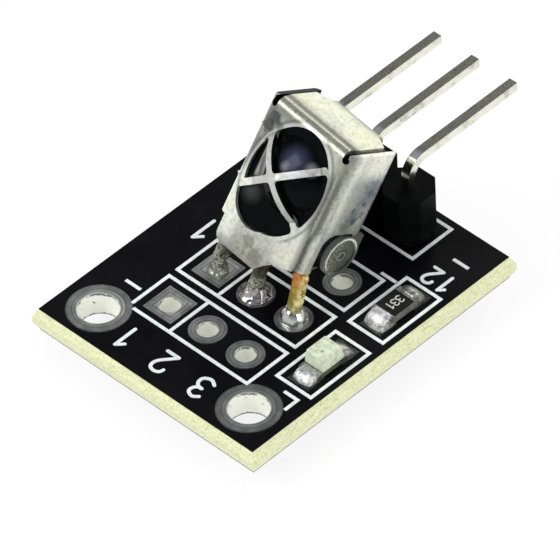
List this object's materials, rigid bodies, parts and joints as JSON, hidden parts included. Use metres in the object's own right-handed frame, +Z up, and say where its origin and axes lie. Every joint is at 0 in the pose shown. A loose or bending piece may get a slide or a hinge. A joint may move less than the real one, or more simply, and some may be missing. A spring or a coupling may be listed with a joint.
{
  "type": "infrared receiver module",
  "caption": "Small black circuit board with a shielded infrared receiver on bent leads, an angled pin header, a signal lamp, a resistor and open mounting holes.",
  "frame": {"origin": "midway between the centres of the two mounting holes, on the underside of the board", "axes": "+Z up on the component side, +X along the front edge from the left mounting hole to the right one, +Y towards the header"},
  "size_m": [0.015, 0.0238, 0.0118],
  "materials": {
    "laminate": "pale cut glass laminate",
    "mask": "smooth black solder mask",
    "plating": "dull tinned copper",
    "legend": "white print",
    "shield": "tin-plated sheet, slightly stained",
    "moulding": "black infrared-clear moulding",
    "lead": "tinned lead, discoloured",
    "die": "polished silicon",
    "solder": "bright solder",
    "header_pin": "plated square pin",
    "header_plastic": "black moulded strip",
    "ceramic": "white fired ceramic",
    "coat": "black glaze",
    "terminal": "tinned end cap",
    "lamp_base": "white carrier",
    "lamp_lens": "cloudy clear lens"
  },
  "bodies": {
    "root": {"board_laminate": "laminate", "solder_mask_top": "mask", "solder_mask_bottom": "mask", "mount_plating_left": "plating", "mount_plating_right": "plating", "spare_front_plating": "plating", "receiver_plating": "plating", "spare_rear_plating": "plating", "header_plating": "plating", "resistor_lands": "plating", "lamp_lands": "plating", "legend_print": "legend", "receiver_shield": "shield", "receiver_moulding": "moulding", "receiver_lead_1": "lead", "receiver_lead_2": "lead", "receiver_lead_3": "lead", "photodiode_die": "die", "amplifier_chip": "die", "receiver_joint_1": "solder", "receiver_joint_2": "solder", "receiver_joint_3": "solder", "header_joint_1": "solder", "header_joint_2": "solder", "header_joint_3": "solder", "header_pin_1": "header_pin", "header_pin_2": "header_pin", "header_pin_3": "header_pin", "header_strip": "header_plastic", "resistor_substrate": "ceramic", "resistor_coat": "coat", "resistor_terminal_front": "terminal", "resistor_terminal_rear": "terminal", "resistor_solder_front": "solder", "resistor_solder_rear": "solder", "lamp_base": "lamp_base", "lamp_lens": "lamp_lens", "lamp_die": "die", "lamp_terminal_front": "terminal", "lamp_terminal_rear": "terminal", "lamp_solder_front": "solder", "lamp_solder_rear": "solder"}
  },
  "joints": []
}
